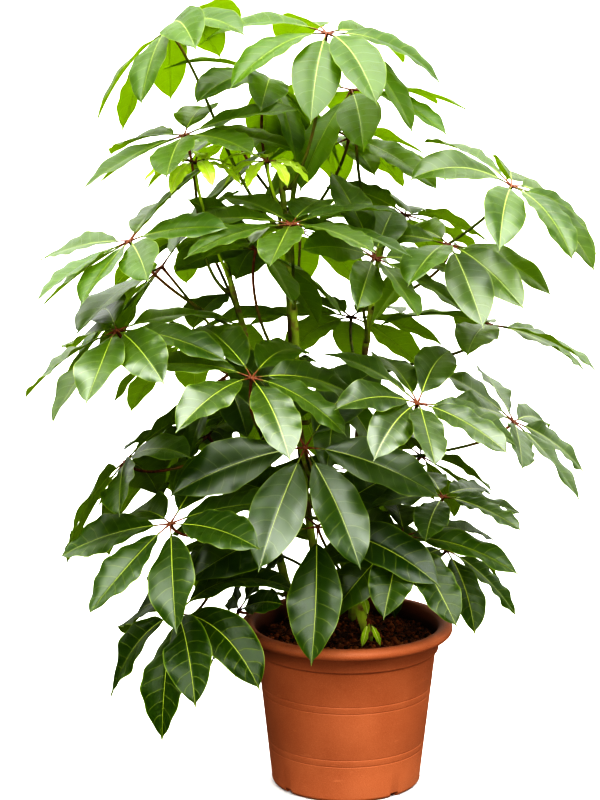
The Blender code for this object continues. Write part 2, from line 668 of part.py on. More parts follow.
def main():
    clear_scene()
    stem_paths = {name: smooth_path(row[0], STEM_RINGS) for name, row in STEMS.items()}
    make_pot()
    make_soil(stem_paths)
    placed = [outline_of(make_stem(name, path)) for name, path in stem_paths.items()]
    placed.append(outline_of(rim_guard()))
    hubs = {name: outline_of(hub_guard(row)) for name, row in LEAVES.items()}
    other_hubs = {name: [hubs[other] for other in hubs if other != name] for name in hubs}
    stalks = {}
    for name, row in LEAVES.items():
        path, outward, outline = settle_stalk(name, row, stem_paths[row[0]], placed + other_hubs[name])
        stalks[name] = (path, outward)
        placed.append(outline)
    for name, row in LEAVES.items():
        placed += make_leaf(name, row, *stalks[name], placed + other_hubs[name])


main()
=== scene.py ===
"""Potted umbrella plant: the finished look of the pot, the soil, the stems and the leaves.

Metres, +Z up, the pot's base at the origin and the front of the plant towards -Y. The growth rules
are those of the solids, and each stalk and leaflet takes the bend that its solid took.
"""
from itertools import product
from math import cos, pi, radians, sin
import random

import bmesh
import bpy
from mathutils import Euler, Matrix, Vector, noise
from mathutils.geometry import interpolate_bezier
from mathutils.kdtree import KDTree
import numpy as np


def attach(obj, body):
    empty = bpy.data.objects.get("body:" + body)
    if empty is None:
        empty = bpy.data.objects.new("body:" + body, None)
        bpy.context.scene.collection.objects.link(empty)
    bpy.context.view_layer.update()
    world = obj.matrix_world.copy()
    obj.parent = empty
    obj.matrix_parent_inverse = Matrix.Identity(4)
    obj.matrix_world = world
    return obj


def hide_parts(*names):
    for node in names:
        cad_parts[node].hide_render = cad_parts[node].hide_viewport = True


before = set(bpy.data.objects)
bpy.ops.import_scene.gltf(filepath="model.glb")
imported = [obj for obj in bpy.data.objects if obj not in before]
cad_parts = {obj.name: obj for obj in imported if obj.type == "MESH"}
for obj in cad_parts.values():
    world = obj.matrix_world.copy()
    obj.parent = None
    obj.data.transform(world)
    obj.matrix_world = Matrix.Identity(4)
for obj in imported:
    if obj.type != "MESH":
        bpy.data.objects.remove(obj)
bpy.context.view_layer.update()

# Pot
POT_SIDES = 192
POT_HEIGHT = 0.231
POT_WALL = 0.003
POT_FLOOR = 0.004
FOOT_RADIUS = 0.101
FOOT_BEVEL = 0.006
BODY_TOP = 0.192
BODY_LOW_RADIUS = 0.1045
BODY_TOP_RADIUS = 0.1255
SHOULDER_RADIUS = 0.1295
LIP_RADIUS = 0.149
LIP_INNER_RADIUS = 0.128
LIP_TALL = 0.0165
GROOVE_HEIGHTS = (0.053, 0.063, 0.132, 0.142)
GROOVE_WIDTH = 0.0009
GROOVE_DEPTH = 0.00045
GROOVE_STEPS = 4                # profile points on each side of a groove's middle
NOTCH_ANGLES = (39, 129, 219, 309)
NOTCH_SIZE = (0.012, 0.014, 0.014)
DRAIN_HOLE_RADIUS = 0.006
DRAIN_HOLE_CIRCLE = 0.062
DRAIN_HOLES = 6

# Soil
SOIL_TOP = 0.208
SOIL_RADIUS = 0.1243
SOIL_GAP = 0.0007               # clear of the wall
SOIL_RINGS = 64
SOIL_SIDES = 180
CRUMBS = 1650
CRUMB_SIZE = 0.0009
CRUMB_GROWTH = 0.0034
FIBRES = 260
FIBRE_POINTS = 6

# Stems: points along the axis from the foot up, then the radius at the foot and at the tip
STEM_RINGS = 11
STEM_FINE = 16                  # fine rings for each ring of the solid
STEM_SIDES = 20
STEM_SWELLING = 0.00055         # at a leaf's place
SWELLING_TALL = 0.0045
SCAR_TALL = 0.0016
STEMS = {
    "stem_front": ([(0.040, -0.018, 0.145), (0.025, -0.020, 0.230), (-0.022, -0.028, 0.375),
                    (-0.065, -0.030, 0.500), (-0.072, -0.028, 0.655), (-0.090, -0.015, 0.850)],
                   0.0078, 0.0040),
    "stem_left": ([(-0.064, 0.000, 0.145), (-0.072, 0.004, 0.230), (-0.100, 0.012, 0.350),
                   (-0.112, 0.010, 0.470), (-0.132, 0.000, 0.600), (-0.165, -0.015, 0.735)],
                  0.0072, 0.0036),
    "stem_right": ([(0.010, 0.075, 0.145), (0.010, 0.076, 0.230), (0.014, 0.075, 0.400),
                    (0.022, 0.070, 0.560), (0.036, 0.060, 0.680), (0.052, 0.050, 0.790)],
                   0.0062, 0.0034),
    "stem_back": ([(-0.030, 0.058, 0.145), (-0.034, 0.064, 0.230), (-0.058, 0.095, 0.400),
                   (-0.075, 0.125, 0.580), (-0.082, 0.150, 0.730), (-0.070, 0.165, 0.850)],
                  0.0064, 0.0034),
}


def spread(first, count):
    """Turns of leaflets at even steps round a hub."""
    return tuple(first + 360 * k // count for k in range(count))


# Compound leaves. A row holds the stem and the height where the stalk leaves it, the hub's place,
# where the hub faces (compass degrees from +X, degrees up), the turn of each leaflet from the hub's
# downhill side, their reach from the hub, their droop and their lift.
LEAVES = {
    "leaf_crown_1": ("stem_front", 0.790, (-0.242, 0.020, 1.050), (165, 50),
                     (35, 85, 130, 155, 230, 255, 295, 345), 0.155, 6.5, 5),
    "leaf_crown_2": ("stem_front", 0.840, (-0.030, -0.040, 1.049), (290, 75),
                     (8, 38, 75, 120, 180, 235, 288, 330), 0.175, 6.0, 10),
    "leaf_crown_3": ("stem_front", 0.740, (-0.103, 0.080, 0.976), (25, 55),
                     (10, 60, 115, 160, 205, 235, 270, 320), 0.156, 6.5, 0),
    "leaf_crown_4": ("stem_right", 0.780, (0.005, 0.040, 0.968), (190, 80),
                     (35, 85, 135, 165, 210, 260, 305, 350), 0.165, 4.0, -5),
    "leaf_upper_1": ("stem_back", 0.760, (0.003, 0.120, 0.895), (340, 80),
                     (30, 80, 130, 180, 230, 280, 340), 0.163, 4.0, 5),
    "leaf_upper_2": ("stem_right", 0.700, (0.220, -0.020, 0.844), (330, 58),
                     (5, 40, 80, 125, 175, 230, 285, 335), 0.158, 6.0, 10),
    "leaf_upper_3": ("stem_left", 0.700, (-0.220, -0.030, 0.913), (205, 66),
                     (60, 105, 150, 185, 230, 285, 315, 350), 0.155, 3.0, 8),
    "leaf_upper_4": ("stem_left", 0.650, (-0.291, -0.080, 0.778), (205, 64),
                     (10, 40, 78, 128, 168, 223, 300, 340), 0.150, 2.5, 8),
    "leaf_upper_5": ("stem_left", 0.725, (-0.204, -0.060, 0.880), (270, 80),
                     (25, 70, 120, 180, 230, 285, 335), 0.075, 18.0, 15),
    "leaf_upper_6": ("stem_front", 0.810, (-0.108, -0.050, 0.880), (270, 80),
                     (25, 65, 115, 180, 240, 290, 335), 0.068, 18.0, 15),
    "leaf_upper_7": ("stem_front", 0.680, (-0.076, -0.120, 0.805), (260, 80),
                     (0, 55, 90, 130, 175, 220, 255, 305), 0.155, 3.0, 10),
    "leaf_upper_8": ("stem_right", 0.620, (0.034, -0.080, 0.755), (320, 50),
                     (35, 75, 130, 170, 205, 250, 295, 335), 0.140, 3.5, 15),
    "leaf_upper_9": ("stem_right", 0.665, (0.136, -0.020, 0.764), (255, 65),
                     (30, 60, 90, 160, 215, 260, 305, 350), 0.157, 4.5, 0),
    "leaf_upper_10": ("stem_front", 0.600, (-0.124, -0.030, 0.759), (60, 60),
                      (45, 85, 130, 185, 235, 285, 340), 0.160, 4.5, 0),
    "leaf_middle_1": ("stem_left", 0.600, (-0.256, 0.050, 0.724), (188, 51),
                      (7, 38, 80, 150, 220, 295, 342), 0.225, 2.0, 0),
    "leaf_middle_2": ("stem_left", 0.580, (-0.307, -0.120, 0.664), (210, 60),
                      (15, 50, 85, 125, 175, 225, 270, 325), 0.168, 3.5, 0),
    "leaf_middle_3": ("stem_right", 0.560, (0.201, 0.050, 0.642), (0, 70),
                      (20, 105, 180, 250, 340), 0.158, 4.5, 5),
    "leaf_middle_4": ("stem_left", 0.480, (-0.128, -0.180, 0.612), (290, 68),
                      (0, 50, 95, 145, 185, 235, 300), 0.155, 5.0, 12),
    "leaf_middle_5": ("stem_right", 0.460, (0.090, -0.150, 0.572), (310, 65),
                      (20, 60, 130, 165, 215, 260, 290, 325), 0.145, 5.0, 18),
    "leaf_middle_6": ("stem_right", 0.420, (0.234, 0.050, 0.505), (345, 50),
                      (40, 85, 135, 180, 230, 285, 340), 0.140, 3.5, 5),
    "leaf_middle_7": ("stem_front", 0.430, (-0.058, -0.120, 0.506), (270, 42),
                      (28, 85, 150, 210, 275, 338), 0.186, 3.0, 0),
    "leaf_low_1": ("stem_left", 0.460, (-0.304, -0.050, 0.470), (160, 40),
                   (15, 80, 110, 155, 200, 240, 280, 330), 0.165, 5.0, 0),
    "leaf_low_2": ("stem_front", 0.390, (-0.238, -0.140, 0.406), (235, 55),
                   (35, 90, 130, 180, 240, 290, 340), 0.172, 3.0, 5),
    "leaf_low_3": ("stem_left", 0.370, (-0.231, -0.140, 0.281), (215, 45),
                   (40, 80, 110, 155, 195, 225, 260, 305), 0.178, 8.0, 10),
    "leaf_low_4": ("stem_left", 0.270, (-0.149, -0.080, 0.268), (195, 30),
                   (55, 125, 195, 260, 335), 0.104, 4.0, -5),
    "leaf_low_5": ("stem_front", 0.300, (-0.041, -0.100, 0.392), (262, 42),
                   (3, 75, 140, 215, 290), 0.188, 3.0, 0),
    "leaf_low_6": ("stem_right", 0.320, (0.075, -0.100, 0.378), (285, 72),
                   (20, 65, 110, 160, 200, 250, 290, 340), 0.155, 4.0, 5),
    "leaf_low_7": ("stem_right", 0.360, (0.130, -0.050, 0.421), (295, 75),
                   (35, 75, 120, 170, 215, 270, 320), 0.120, 4.0, 12),
    "leaf_low_8": ("stem_right", 0.250, (0.045, 0.060, 0.292), (345, 75),
                   (20, 90, 160, 230, 300), 0.100, 5.5, -5),
    "leaf_low_9": ("stem_right", 0.270, (0.141, 0.030, 0.325), (340, 55), spread(10, 6), 0.140, 6.5, 5),
    "leaf_low_10": ("stem_front", 0.226, (0.030, -0.050, 0.246), (285, 40), (20, 180, 335), 0.036, 14.0, 0),
    "leaf_inner_1": ("stem_left", 0.520, (-0.172, 0.060, 0.565), (160, 60), spread(10, 6), 0.135, 6.0, 0),
    "leaf_inner_2": ("stem_front", 0.520, (-0.018, -0.030, 0.565), (310, 65), spread(20, 6), 0.135, 6.0, 0),
    "leaf_inner_3": ("stem_left", 0.400, (-0.195, 0.070, 0.480), (170, 50), spread(25, 6), 0.140, 6.0, 5),
    "leaf_back_1": ("stem_back", 0.790, (-0.155, 0.200, 0.890), (130, 65), spread(10, 7), 0.145, 5.0, 5),
    "leaf_back_2": ("stem_back", 0.830, (-0.025, 0.230, 0.890), (60, 65), spread(20, 7), 0.145, 5.0, 5),
    "leaf_back_3": ("stem_right", 0.740, (0.085, 0.175, 0.780), (50, 60), spread(12, 7), 0.140, 5.0, 5),
    "leaf_back_4": ("stem_left", 0.660, (-0.205, 0.170, 0.760), (130, 55), spread(30, 7), 0.150, 5.0, 5),
    "leaf_back_5": ("stem_back", 0.620, (-0.065, 0.290, 0.740), (90, 60), spread(0, 7), 0.155, 5.0, 5),
    "leaf_back_6": ("stem_right", 0.540, (0.010, 0.245, 0.620), (80, 60), spread(5, 7), 0.150, 5.0, 5),
    "leaf_back_7": ("stem_left", 0.540, (-0.225, 0.190, 0.600), (130, 50), spread(15, 7), 0.155, 5.0, 5),
    "leaf_back_8": ("stem_back", 0.430, (-0.080, 0.285, 0.500), (95, 50), spread(25, 7), 0.155, 5.0, 5),
    "leaf_back_9": ("stem_back", 0.360, (-0.240, 0.170, 0.450), (145, 50), spread(12, 7), 0.150, 5.0, 5),
    "leaf_back_10": ("stem_right", 0.330, (0.010, 0.215, 0.400), (85, 50), spread(28, 7), 0.145, 5.0, 5),
    "leaf_back_11": ("stem_right", 0.370, (0.110, 0.165, 0.430), (45, 50), spread(8, 7), 0.140, 5.0, 5),
    "leaf_back_12": ("stem_back", 0.280, (-0.150, 0.180, 0.320), (120, 45), spread(18, 7), 0.140, 5.0, 5),
}

YOUNG_LEAVES = ("leaf_upper_5", "leaf_upper_6", "leaf_low_10")

# Leaf stalk, hub and leaflets
STALK_BENDS = 4
STALK_CURVE = 0.30
STALK_COLLAR = 0.007
STALK_RADII = (0.0034, 0.0023, 0.0019)
STALK_RINGS = 30
STALK_SIDES = 10
SEAT_GAP = 0.0004
HUB_RADIUS = 0.0048
HUB_HALF = 0.0022
HUB_STEPS = (0.5, 1.1, 1.7, 2.1)
HUB_RADII = (0.0033, 0.0040, 0.0034, 0.0014)
STALKLET_SHARE = 0.11
STALKLET_RADIUS = 0.0011
STALKLET_RINGS = 9
STALKLET_SIDES = 8
LINE_STEPS = 24
BLADE_WIDTH = 0.220
YOUNG_BLADE_WIDTH = 0.160
YOUNG_WAVE = 0.015
BLADE_FOLD = 0.16
BLADE_STATIONS = (0.20, 0.50, 0.80)
BLADE_RINGS = 30
BLADE_COLUMNS = (-1.0, -0.87, -0.71, -0.52, -0.32, -0.13, 0.0, 0.13, 0.32, 0.52, 0.71, 0.87, 1.0)
BLADE_HALF_THICK = 0.00024
RIB_TALL = 0.00085              # the midrib under the blade
RIB_WIDE = 0.0011
WAVE_SHARE = 0.7                # of the solid's waves: the ripples add the rest
WAVE = {"crown": 0.002, "upper": 0.003, "middle": 0.006, "low": 0.006, "inner": 0.004, "back": 0.004}
STRAY_TURN = 2
STRAY_REACH = 0.05
STRAY_DROOP = 0.15
STRAY_LIFT = 4
STRAY_ROLL = 12
TURN_STEP = 7
TURN_BENDS = (0, -7, 7, -14, 14, -22, 22)
LIFT_STEP = 9
LIFT_BENDS = (0, -9, 9, -18, 18, -30, 30)
REACH_BENDS = (1.0, 0.86, 0.72)
SHORT_COST = 12
STALK_BENDS_ASIDE = (0, -0.02, 0.02, -0.04, 0.04, -0.07, 0.07)
SAME_PLACE = 0.0003             # a vertex of the solid this near marks the bend it took

# Studio
FLOOR_REACH = 150.0
POT_MIDDLE = (0.0, 0.0, 0.12)   # where the lamps are aimed
CAMERA_PLACE = (-0.065, -3.42, 1.242)
CAMERA_TILT = 78.5
CAMERA_LENS = 114.075
CAMERA_REACH = 400.0


# ---------------------------------------------------------------- finishes

class Value:
    """A socket of a finish, which arithmetic turns into Math nodes."""

    def __init__(self, finish, socket):
        self.finish = finish
        self.socket = socket

    def math(self, operation, *others):
        """Any Math node, with this value first."""
        return self.finish.add("Math", {"operation": operation}, dict(enumerate((self, *others))))

    def __add__(self, other):
        return self.math("ADD", other)

    def __sub__(self, other):
        return self.math("SUBTRACT", other)

    def __rsub__(self, other):
        return self.finish.add("Math", {"operation": "SUBTRACT"}, {0: other, 1: self})

    def __mul__(self, other):
        return self.math("MULTIPLY", other)

    def __pow__(self, other):
        return self.math("POWER", other)

    def __abs__(self):
        return self.math("ABSOLUTE")

    __radd__ = __add__
    __rmul__ = __mul__

    def rise(self, low, high):
        """0 below low and 1 above high, with a smooth step between."""
        return self.finish.add("MapRange", {"interpolation_type": "SMOOTHSTEP"}, {0: self, 1: low, 2: high})

    def fall(self, low, high):
        return 1.0 - self.rise(low, high)


class Finish:
    """A material, or the world, and its node tree."""

    def __init__(self, owner, shader="Principled BSDF"):
        owner.use_nodes = True
        self.material = owner
        self.tree = owner.node_tree
        self.shader = self.tree.nodes[shader]

    def add(self, kind, settings, links, output=0):
        """Any node: its settings come first, then the values or links of its sockets."""
        node = self.tree.nodes.new("ShaderNode" + kind)
        for key, value in settings.items():
            setattr(node, key, value)
        for key, value in links.items():
            self.feed(node.inputs[key], value)
        return Value(self, node.outputs[output])

    def feed(self, socket, value):
        if isinstance(value, Value):
            self.tree.links.new(value.socket, socket)
        else:
            socket.default_value = value

    def set(self, **sockets):
        """Feeds the shader's sockets, named with underscores for spaces."""
        for name, value in sockets.items():
            self.feed(self.shader.inputs[name.replace("_", " ")], value)

    def mark(self, name):
        """The three parts of a mark that the mesh carries."""
        vector = self.add("Attribute", {"attribute_name": name}, {}, 1)
        return [self.add("SeparateXYZ", {}, {0: vector}, part) for part in range(3)]

    def object_place(self):
        return self.add("TexCoord", {}, {}, 3)

    def place(self, x, y, z):
        return self.add("CombineXYZ", {}, {0: x, 1: y, 2: z})

    def stretch(self, place, scale):
        return self.add("VectorMath", {"operation": "MULTIPLY"}, {0: place, 1: scale})

    def noise(self, place, scale, detail=3.0):
        return self.add("TexNoise", {}, {"Vector": place, "Scale": scale, "Detail": detail})

    def cells(self, place, scale, feature="F1"):
        return self.add("TexVoronoi", {"feature": feature}, {"Vector": place, "Scale": scale})

    def mix(self, mask, first, second):
        return self.add("Mix", {"data_type": "RGBA"}, {0: mask, 6: first, 7: second}, 2)

    def bump(self, height, distance, strength=1.0):
        return self.add("Bump", {}, {"Height": height, "Distance": distance, "Strength": strength})


def tint(red, green, blue):
    """A colour from 0 to 255 a channel, as a paint chart gives it."""
    return tuple((c / 255 / 12.92 if c <= 10 else ((c / 255 + 0.055) / 1.055) ** 2.4)
                 for c in (red, green, blue)) + (1.0,)


def leaf_finish(name, deep, bright, old, vein, under, glow, glow_share):
    """Leathery leaf: a pale midrib, side veins sunk in the top, a matt underside, some light let through
    and a waxy sheen that the oldest leaves have lost."""
    finish = Finish(bpy.data.materials.new(name))
    along, across, reach = finish.mark("blade")
    tone, underside, age = finish.mark("growth")
    out = abs(across)
    side = across.rise(-0.01, 0.01) * 0.5
    flow = finish.place(along * 9.0, reach * 0.7, tone * 40.0)
    wander = finish.noise(flow, 0.9, 2.0) - 0.5
    row = (along - out ** 1.3 * 0.115 + wander * 0.035) * 9.0 + side
    vein_gap = row.math("PINGPONG", 0.5)
    side_vein = vein_gap.fall(0.0, 0.045) * out.fall(0.72, 0.97)
    rib = (abs(reach) + along * 0.05).fall(0.045, 0.085)
    net = finish.cells(flow, 7.0, "DISTANCE_TO_EDGE").fall(0.0, 0.12)
    cloud = finish.noise(finish.place(along * 4.0, reach * 0.35, tone * 60.0), 1.6, 3.0)
    grain = finish.noise(flow, 26.0, 3.0)

    green = finish.mix((cloud + tone - 0.4).math("MINIMUM", 1.0), deep, bright)
    green = finish.mix(age * 0.85, green, old)
    green = finish.mix(net * 0.10 + grain.rise(0.62, 0.8) * 0.10, green, bright)
    green = finish.mix(side_vein * (0.32 - 0.10 * age), green, vein)
    # Painted highlight: a pale band in the vein colour along the blade's margin, where the edge catches the
    # light.
    green = finish.mix(out.rise(0.955, 0.99) * 0.45, green, vein)
    pale = finish.mix(side_vein * 0.35 + net * 0.12, under, vein)
    colour = finish.mix(underside, green, pale)
    colour = finish.mix(rib * 0.92, colour, vein)

    quilt = (vein_gap * pi).math("SINE") * out.rise(0.0, 0.25) * out.fall(0.75, 1.0)
    height = quilt * 0.24 - side_vein * 0.18 - rib * 0.5 + net * 0.03 + grain * 0.04 + cloud * 1.1
    finish.set(Base_Color=colour,
               Roughness=0.19 + grain * 0.08 + cloud * 0.12 + underside * 0.25 + side_vein * 0.06,
               Normal=finish.bump(height, 0.0011), Specular_IOR_Level=0.32,
               Coat_Weight=age.fall(0.70, 0.88) * (0.55 + 0.45 * age.rise(0.05, 0.40)),
               Coat_Roughness=0.40, Coat_IOR=1.95)
    through = finish.add("BsdfTranslucent", {}, {"Color": glow})
    share = glow_share * (1.0 - rib * 0.6 - side_vein * 0.3) * (1.0 - age * 0.6)
    both = finish.add("MixShader", {}, {0: share, 1: Value(finish, finish.shader.outputs[0]), 2: through})
    finish.feed(finish.tree.nodes["Material Output"].inputs["Surface"], both)
    return finish.material


def stalk_finish():
    """Leaf stalks: red-brown at the hub, green towards the stem and the blades, with a smooth skin."""
    finish = Finish(bpy.data.materials.new("leaf_stalk"))
    redness, ring, tone = finish.mark("blade")
    youth = finish.mark("growth")[0]
    skin = finish.stretch(finish.object_place(), (1.0, 1.0, 0.3))
    mottle = finish.noise(skin, 90.0, 3.0)
    streak = finish.noise(skin, 420.0, 3.0)
    green = finish.mix(mottle.rise(0.35, 0.65), tint(88, 100, 30), tint(130, 142, 52))
    green = finish.mix(youth, green, tint(186, 208, 60))
    red = finish.mix(streak.rise(0.35, 0.65), tint(100, 54, 32), tint(142, 84, 54))
    colour = finish.mix((redness + (mottle - 0.5) * 0.7).rise(0.25, 0.75), green, red)
    colour = finish.mix(ring * 0.8, colour, tint(84, 58, 32))
    colour = finish.mix(streak.rise(0.66, 0.72) * 0.4 * tone, colour, tint(150, 150, 96))
    finish.set(Base_Color=colour, Roughness=0.42 + streak * 0.2, Normal=finish.bump(streak + mottle, 0.0004))
    return finish.material


def bark_finish():
    """Green stems: patchy brown cork, most of it round the middle of their height, with scars round each
    leaf's place and pale lenticels.
    """
    finish = Finish(bpy.data.materials.new("stem_bark"))
    height, scar, tone = finish.mark("blade")
    skin = finish.object_place()
    along = finish.stretch(skin, (1.0, 1.0, 0.22))
    streak = finish.noise(along, 260.0, 4.0)
    patch = finish.noise(skin, 45.0, 3.0)
    spots = finish.cells(finish.stretch(skin, (1.0, 1.0, 0.55)), 230.0).fall(0.14, 0.22)
    spots = spots * finish.noise(skin, 60.0, 2.0).rise(0.45, 0.62)
    green = finish.mix(streak.rise(0.3, 0.7), tint(148, 168, 48), tint(166, 182, 70))
    brown = finish.mix(streak.rise(0.3, 0.7), tint(110, 88, 48), tint(142, 120, 74))
    corky = (patch + abs(height - 0.55).fall(0.0, 0.30) * 0.22 - 0.10).rise(0.46, 0.62)
    colour = finish.mix(corky, green, brown)
    colour = finish.mix(scar * 0.75, colour, finish.mix(patch, tint(120, 82, 56), tint(164, 132, 104)))
    colour = finish.mix(spots * 0.7, colour, tint(172, 158, 112))
    finish.set(Base_Color=colour, Roughness=0.55 + streak * 0.2,
               Normal=finish.bump(streak * 0.6 + spots * 0.8 + patch * 0.5, 0.0007))
    return finish.material


def pot_finish():
    """Moulded terracotta-coloured plastic: a fine grain, cloudy colour, faint scuffs, a dusty foot and
    painted shade on the inner wall near the rim.
    """
    finish = Finish(bpy.data.materials.new("terracotta_plastic"))
    place = finish.object_place()
    height = finish.add("SeparateXYZ", {}, {0: place}, 2)
    out = finish.add("VectorMath", {"operation": "LENGTH"}, {0: finish.stretch(place, (1.0, 1.0, 0.0))}, 1)
    cloud = finish.noise(place, 14.0, 4.0)
    grain = finish.noise(place, 1300.0, 2.0)
    speck = finish.noise(place, 700.0, 2.0)
    scuff = finish.noise(finish.stretch(place, (1.0, 1.0, 3.0)), 38.0, 6.0).rise(0.64, 0.74)
    colour = finish.mix(cloud.rise(0.3, 0.7), tint(150, 88, 53), tint(160, 97, 61))
    colour = finish.mix(grain.rise(0.42, 0.7) * 0.35, colour, tint(194, 128, 92))
    colour = finish.mix(speck.rise(0.60, 0.70) * 0.25, colour, tint(150, 72, 36))
    colour = finish.mix(scuff * 0.12, colour, tint(228, 156, 112))
    # Painted shade: the inner wall near the rim is mixed towards dark brown, standing in for the shadow of
    # the leaves.
    inside = out.fall(0.122, 0.135) * height.rise(0.19, 0.20)
    colour = finish.mix(inside * (0.70 + 0.3 * cloud), colour, tint(44, 22, 12))
    dust = height.fall(0.0, 0.03) * cloud.rise(0.4, 0.7)
    colour = finish.mix(dust * 0.25, colour, tint(120, 84, 58))
    finish.set(Base_Color=colour, Roughness=0.50 + grain * 0.10 + cloud * 0.08 + scuff * 0.08,
               Normal=finish.bump(grain + speck * 0.8 + scuff * 0.6, 0.00025, 0.8))
    return finish.material


def soil_finish():
    """Coarse peat: dark crumbs, lighter fibres and bits of bark, all matt."""
    finish = Finish(bpy.data.materials.new("potting_soil"))
    tone, fibre, _ = finish.mark("blade")
    place = finish.object_place()
    crumb = finish.noise(place, 420.0, 5.0)
    patch = finish.noise(place, 60.0, 3.0)
    paler = (tone * 0.8 + patch * 0.5 - 0.15).rise(0.1, 0.95)
    colour = finish.mix(paler, tint(70, 40, 22), tint(188, 118, 70))
    colour = finish.mix(crumb.rise(0.5, 0.7) * 0.5, colour, tint(212, 146, 96))
    colour = finish.mix(fibre * 0.7, colour, tint(206, 150, 100))
    finish.set(Base_Color=colour, Roughness=0.86 + patch * 0.1, Normal=finish.bump(crumb, 0.0016))
    return finish.material


def floor_finish():
    finish = Finish(bpy.data.materials.new("studio_floor"))
    speck = finish.noise(finish.object_place(), 3.0, 3.0)
    finish.set(Base_Color=finish.mix(speck, (0.78, 0.78, 0.78, 1.0), (0.80, 0.80, 0.80, 1.0)), Roughness=0.75)
    return finish.material


# ---------------------------------------------------------------- shapes

NO_MARK = (0, 0, 0)


class Shape:
    """Points, faces and surface marks of one piece, gathered part by part."""

    def __init__(self):
        self.points = []
        self.faces = []
        self.slots = []
        self.marks = {"blade": [], "growth": []}
        self.count = 0

    def add(self, points, faces, slot, blade, growth):
        """A part: its points, its faces counted from its own first point, and its marks."""
        points = np.asarray(points, float)
        self.points.append(points)
        self.faces.extend([[self.count + corner for corner in face] for face in faces])
        self.slots.extend([slot] * len(faces))
        for key, value in (("blade", blade), ("growth", growth)):
            self.marks[key].append(np.broadcast_to(value, points.shape))
        self.count += len(points)

    def make(self, name, finishes, sharp_angle):
        mesh = bpy.data.meshes.new(name)
        mesh.from_pydata(np.concatenate(self.points), [], self.faces)
        for finish in finishes:
            mesh.materials.append(finish)
        mesh.polygons.foreach_set("material_index", self.slots)
        for key, parts in self.marks.items():
            mark = mesh.attributes.new(key, "FLOAT_VECTOR", "POINT")
            mark.data.foreach_set("vector", np.concatenate(parts).astype(np.float32).ravel())
        mesh.shade_smooth()
        mesh.set_sharp_from_angle(angle=radians(sharp_angle))
        item = bpy.data.objects.new(name, mesh)
        bpy.context.scene.collection.objects.link(item)
        return item


def ring_faces(rings, sides, closed_start=True, closed_end=True):
    """Quads between rings of the same number of corners, with the ends closed."""
    faces = []
    for near in range(0, (rings - 1) * sides, sides):
        far = near + sides
        faces += [[near + k, near + (k + 1) % sides, far + (k + 1) % sides, far + k] for k in range(sides)]
    if closed_start:
        faces.append(list(range(sides))[::-1])
    if closed_end:
        faces.append([(rings - 1) * sides + k for k in range(sides)])
    return faces


def tube_points(path, radii, sides, start_side):
    """Rings round a path, carried along it without twist."""
    ends = [path[0]] + list(path) + [path[-1]]
    along = [(after - before).normalized() for before, after in zip(ends, ends[2:])]
    side = start_side
    points = []
    for point, tangent, radius in zip(path, along, radii):
        side = (side - tangent * side.dot(tangent)).normalized()
        other = tangent.cross(side)
        for k in range(sides):
            angle = 2 * pi * k / sides
            points.append(point + (side * cos(angle) + other * sin(angle)) * radius)
    return points


def round_axis(radius, angle, height=0.0):
    return radius * cos(angle), radius * sin(angle), height


def turned_points(profile, sides):
    """Rings turned round the upright axis from a section's radii and heights."""
    return [round_axis(radius, 2 * pi * k / sides, height)
            for radius, height in profile for k in range(sides)]


def stand_for(item, node):
    """The piece rides on the part and takes the place of its solid."""
    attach(item, "root")
    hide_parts(node)


# ---------------------------------------------------------------- pot and soil

def wall_radius(height):
    """Outer radius of the tapered wall at a height."""
    share = (height - FOOT_BEVEL) / (BODY_TOP - FOOT_BEVEL)
    return BODY_LOW_RADIUS + (BODY_TOP_RADIUS - BODY_LOW_RADIUS) * share


def arc(centre, radius, first, last, steps):
    """Points on an arc of a profile, in degrees from the +radius side."""
    turns = [radians(first + (last - first) * k / steps) for k in range(steps + 1)]
    return [(centre[0] + radius * cos(turn), centre[1] + radius * sin(turn)) for turn in turns]


def pot_profile():
    """The wall's section from the foot's edge up over the lip and down the inside."""
    foot = arc((FOOT_RADIUS - 0.0022, FOOT_BEVEL), FOOT_BEVEL, -90, -4, 8)
    line = [(BODY_LOW_RADIUS, FOOT_BEVEL + 0.001)]
    for groove in GROOVE_HEIGHTS:
        for step in range(-GROOVE_STEPS, GROOVE_STEPS + 1):
            drop = GROOVE_DEPTH * max(0.0, cos(pi / 2 * step / 3.2))
            height = groove + GROOVE_WIDTH * step / 3
            line.append((wall_radius(height) - drop, height))
    low = POT_HEIGHT - LIP_TALL
    shoulder = [(wall_radius(BODY_TOP - 0.0012), BODY_TOP - 0.0012),
                (BODY_TOP_RADIUS + 0.0003, BODY_TOP - 0.0002), (BODY_TOP_RADIUS + 0.0012, BODY_TOP + 0.0006),
                (SHOULDER_RADIUS - 0.0009, BODY_TOP + 0.0016), (SHOULDER_RADIUS - 0.0001, BODY_TOP + 0.0026),
                (SHOULDER_RADIUS, BODY_TOP + 0.0042), (SHOULDER_RADIUS + 0.0002, low - 0.0026),
                (SHOULDER_RADIUS + 0.0004, low + 0.0010)]
    middle = (LIP_RADIUS + LIP_INNER_RADIUS) / 2
    half = (LIP_RADIUS - LIP_INNER_RADIUS) / 2
    lip = [(middle + half * cos(radians(angle)), POT_HEIGHT - LIP_TALL / 2 * (1 - sin(radians(angle))))
           for angle in range(-78, 161, 7)]
    upper = SHOULDER_RADIUS - POT_WALL
    inside = [(upper + 0.0008, low + 0.004), (upper, low), (upper - 0.0002, BODY_TOP + 0.003),
              (wall_radius(BODY_TOP) - POT_WALL, BODY_TOP), (wall_radius(POT_FLOOR) - POT_WALL, POT_FLOOR),
              (0.03, POT_FLOOR)]
    return foot + line + shoulder + lip + inside


